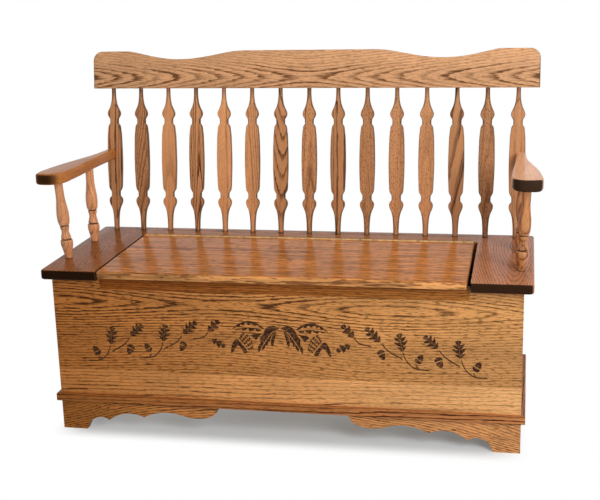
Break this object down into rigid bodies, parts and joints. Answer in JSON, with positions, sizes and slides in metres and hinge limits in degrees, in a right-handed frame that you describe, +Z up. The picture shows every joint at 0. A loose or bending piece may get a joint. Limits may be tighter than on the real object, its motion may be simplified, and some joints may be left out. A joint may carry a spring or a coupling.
{
  "type": "storage bench",
  "caption": "Oak storage bench: a hinged seat lid over a chest on scroll-cut feet, with a spindle back under a scooped crest rail and a paddle arm on turned posts at each end.",
  "frame": {"origin": "on the floor, under the middle of the bench's outline seen from above", "axes": "+X to the right as seen from the front, +Y from the front to the back, +Z up"},
  "size_m": [1.2502, 0.5072, 0.9329],
  "materials": {
    "chest_oak": "satin lacquer over golden oak with dark open grain",
    "strip_oak": "satin lacquer over a darker length of oak",
    "base_oak": "satin lacquer over oak",
    "moulding_oak": "satin lacquer over reddish oak",
    "seat_oak": "gloss lacquer over oak, dark at the end grain",
    "spindle_oak": "satin lacquer over oak, each spindle with its own grain",
    "rail_oak": "satin lacquer over oak with dark arched grain",
    "arm_oak": "satin lacquer over oak, dark at the end grain",
    "inner_wood": "plain unstained wood",
    "hinge_brass": "bright brass",
    "pin_steel": "plain steel"
  },
  "bodies": {
    "bench": {"front_panel": "chest_oak", "front_top_strip": "strip_oak", "back_panel": "chest_oak", "left_side_panel": "chest_oak", "right_side_panel": "chest_oak", "bottom_panel": "inner_wood", "front_cleat": "inner_wood", "back_cleat": "inner_wood", "hinge_rail": "inner_wood", "front_left_corner_block": "inner_wood", "front_right_corner_block": "inner_wood", "back_left_corner_block": "inner_wood", "back_right_corner_block": "inner_wood", "front_skirt": "base_oak", "back_skirt": "base_oak", "left_skirt": "base_oak", "right_skirt": "base_oak", "front_moulding": "moulding_oak", "left_moulding": "moulding_oak", "right_moulding": "moulding_oak", "left_seat_board": "seat_oak", "right_seat_board": "seat_oak", "seat_back_strip": "seat_oak", "hinge_fixed_leaf": "hinge_brass", "hinge_pin": "pin_steel", "fixed_leaf_screw_1": "hinge_brass", "fixed_leaf_screw_2": "hinge_brass", "fixed_leaf_screw_3": "hinge_brass", "spindle_01": "spindle_oak", "spindle_02": "spindle_oak", "spindle_03": "spindle_oak", "spindle_04": "spindle_oak", "spindle_05": "spindle_oak", "spindle_06": "spindle_oak", "spindle_07": "spindle_oak", "spindle_08": "spindle_oak", "spindle_09": "spindle_oak", "spindle_10": "spindle_oak", "spindle_11": "spindle_oak", "spindle_12": "spindle_oak", "spindle_13": "spindle_oak", "spindle_14": "spindle_oak", "spindle_15": "spindle_oak", "crest_rail": "rail_oak", "left_arm": "arm_oak", "right_arm": "arm_oak", "left_front_post": "arm_oak", "left_rear_post": "arm_oak", "right_front_post": "arm_oak", "right_rear_post": "arm_oak", "left_arm_screw": "pin_steel", "right_arm_screw": "pin_steel"},
    "lid": {"lid": "seat_oak", "left_lid_batten": "inner_wood", "right_lid_batten": "inner_wood", "hinge_lid_leaf": "hinge_brass", "lid_leaf_screw_1": "hinge_brass", "lid_leaf_screw_2": "hinge_brass", "lid_leaf_screw_3": "hinge_brass"}
  },
  "joints": [
    {"name": "lid_hinge", "type": "hinge", "parent": "bench", "child": "lid", "pos_m": [-0.00275, 0.12402, 0.436], "axis": [-1, 0, 0], "range_deg": [0, 104]}
  ]
}
